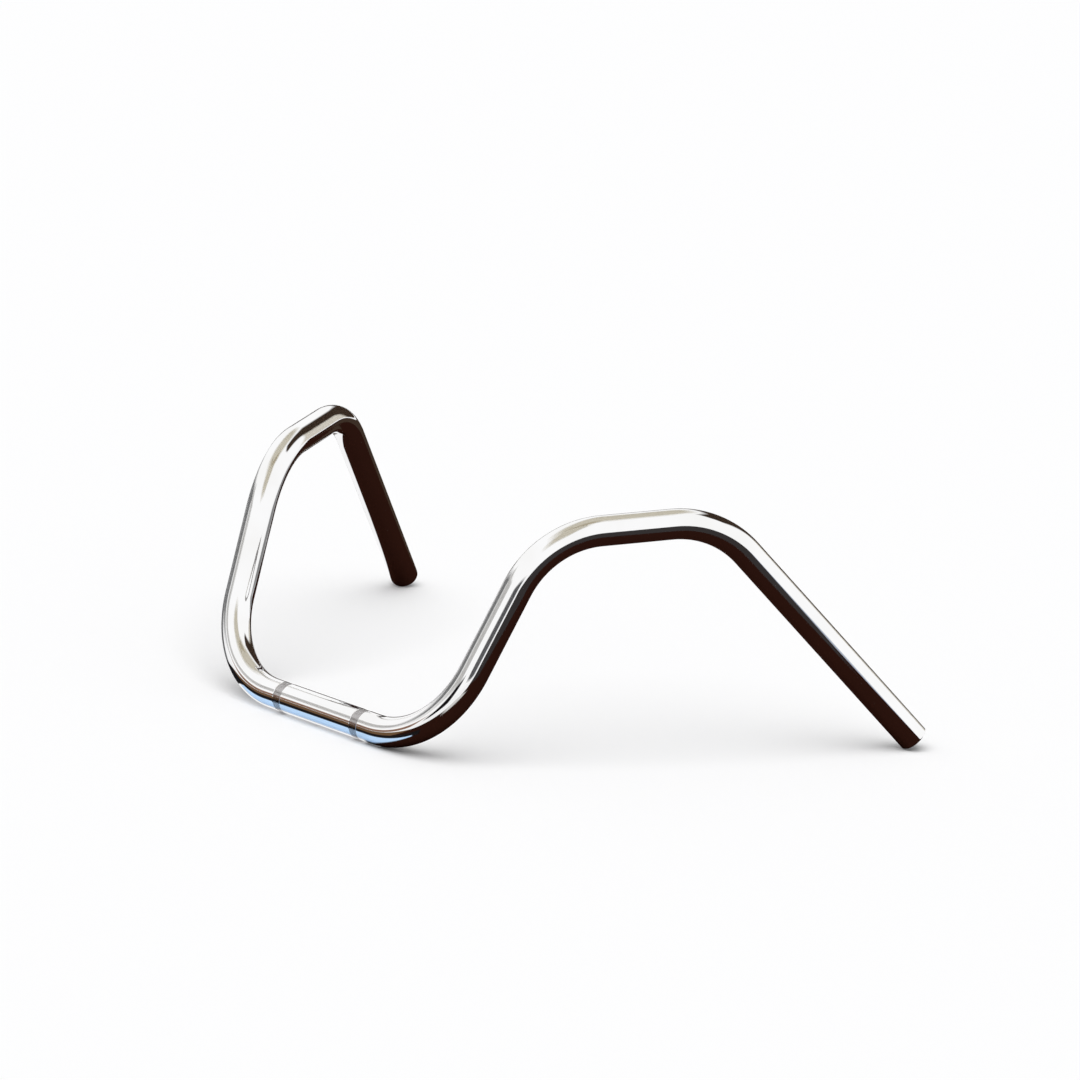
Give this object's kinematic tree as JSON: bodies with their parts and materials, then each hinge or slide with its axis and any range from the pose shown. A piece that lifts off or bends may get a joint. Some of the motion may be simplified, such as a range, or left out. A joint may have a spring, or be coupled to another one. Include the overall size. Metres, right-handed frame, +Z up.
{
  "type": "motorcycle handlebar",
  "caption": "Chrome motorcycle handlebar: one round tube bent up, back and down on each side, with a straight knurled centre section for riser clamps and open grip ends.",
  "frame": {"origin": "on the tube's middle line, halfway along the straight centre section that the risers clamp", "axes": "+X along the centre section towards the rider's left hand, +Y back towards the rider, +Z up from the surface that the bar lies on"},
  "size_m": [0.6644, 0.3962, 0.2092],
  "materials": {
    "chrome": "bright chrome plate, polished to a mirror, over steel tube"
  },
  "bodies": {
    "root": {"handlebar": "chrome"}
  },
  "joints": []
}
